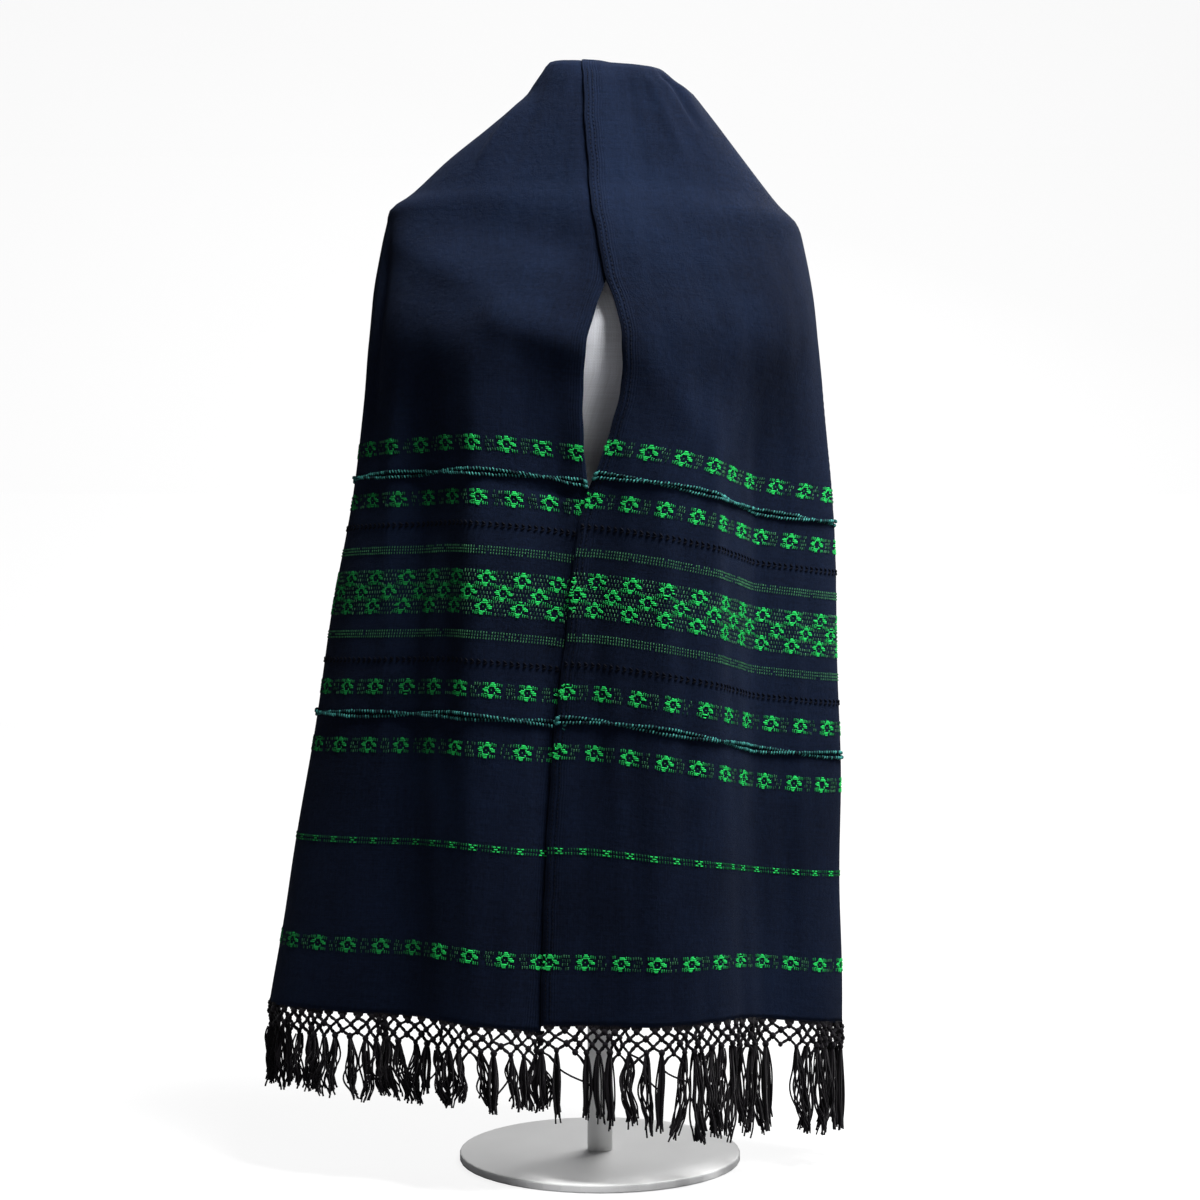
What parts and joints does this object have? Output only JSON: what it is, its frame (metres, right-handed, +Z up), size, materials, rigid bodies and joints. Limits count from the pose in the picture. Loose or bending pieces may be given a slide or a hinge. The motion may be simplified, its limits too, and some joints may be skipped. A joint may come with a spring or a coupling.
{
  "type": "rebozo shawl on dress form",
  "caption": "Fringed cotton rebozo shawl worn over a limbless dress form on a short table stand, both ends hanging in front.",
  "frame": {"origin": "centre of the stand base's flat underside", "axes": "+Z up, front of the garment towards -Y"},
  "size_m": [0.5665, 0.2985, 1.0889],
  "materials": {
    "navy_cotton": "matt hand-woven cotton with green brocade",
    "navy_fringe": "matt knotted cotton yarn",
    "linen_cover": "matt plain-woven linen",
    "white_paint": "satin"
  },
  "bodies": {
    "root": {"form_torso": "linen_cover", "stand_pole": "white_paint", "stand_base": "white_paint", "shawl_back": "navy_cotton", "shawl_front_left": "navy_cotton", "shawl_front_right": "navy_cotton", "fringe_left": "navy_fringe", "fringe_right": "navy_fringe"}
  },
  "joints": []
}
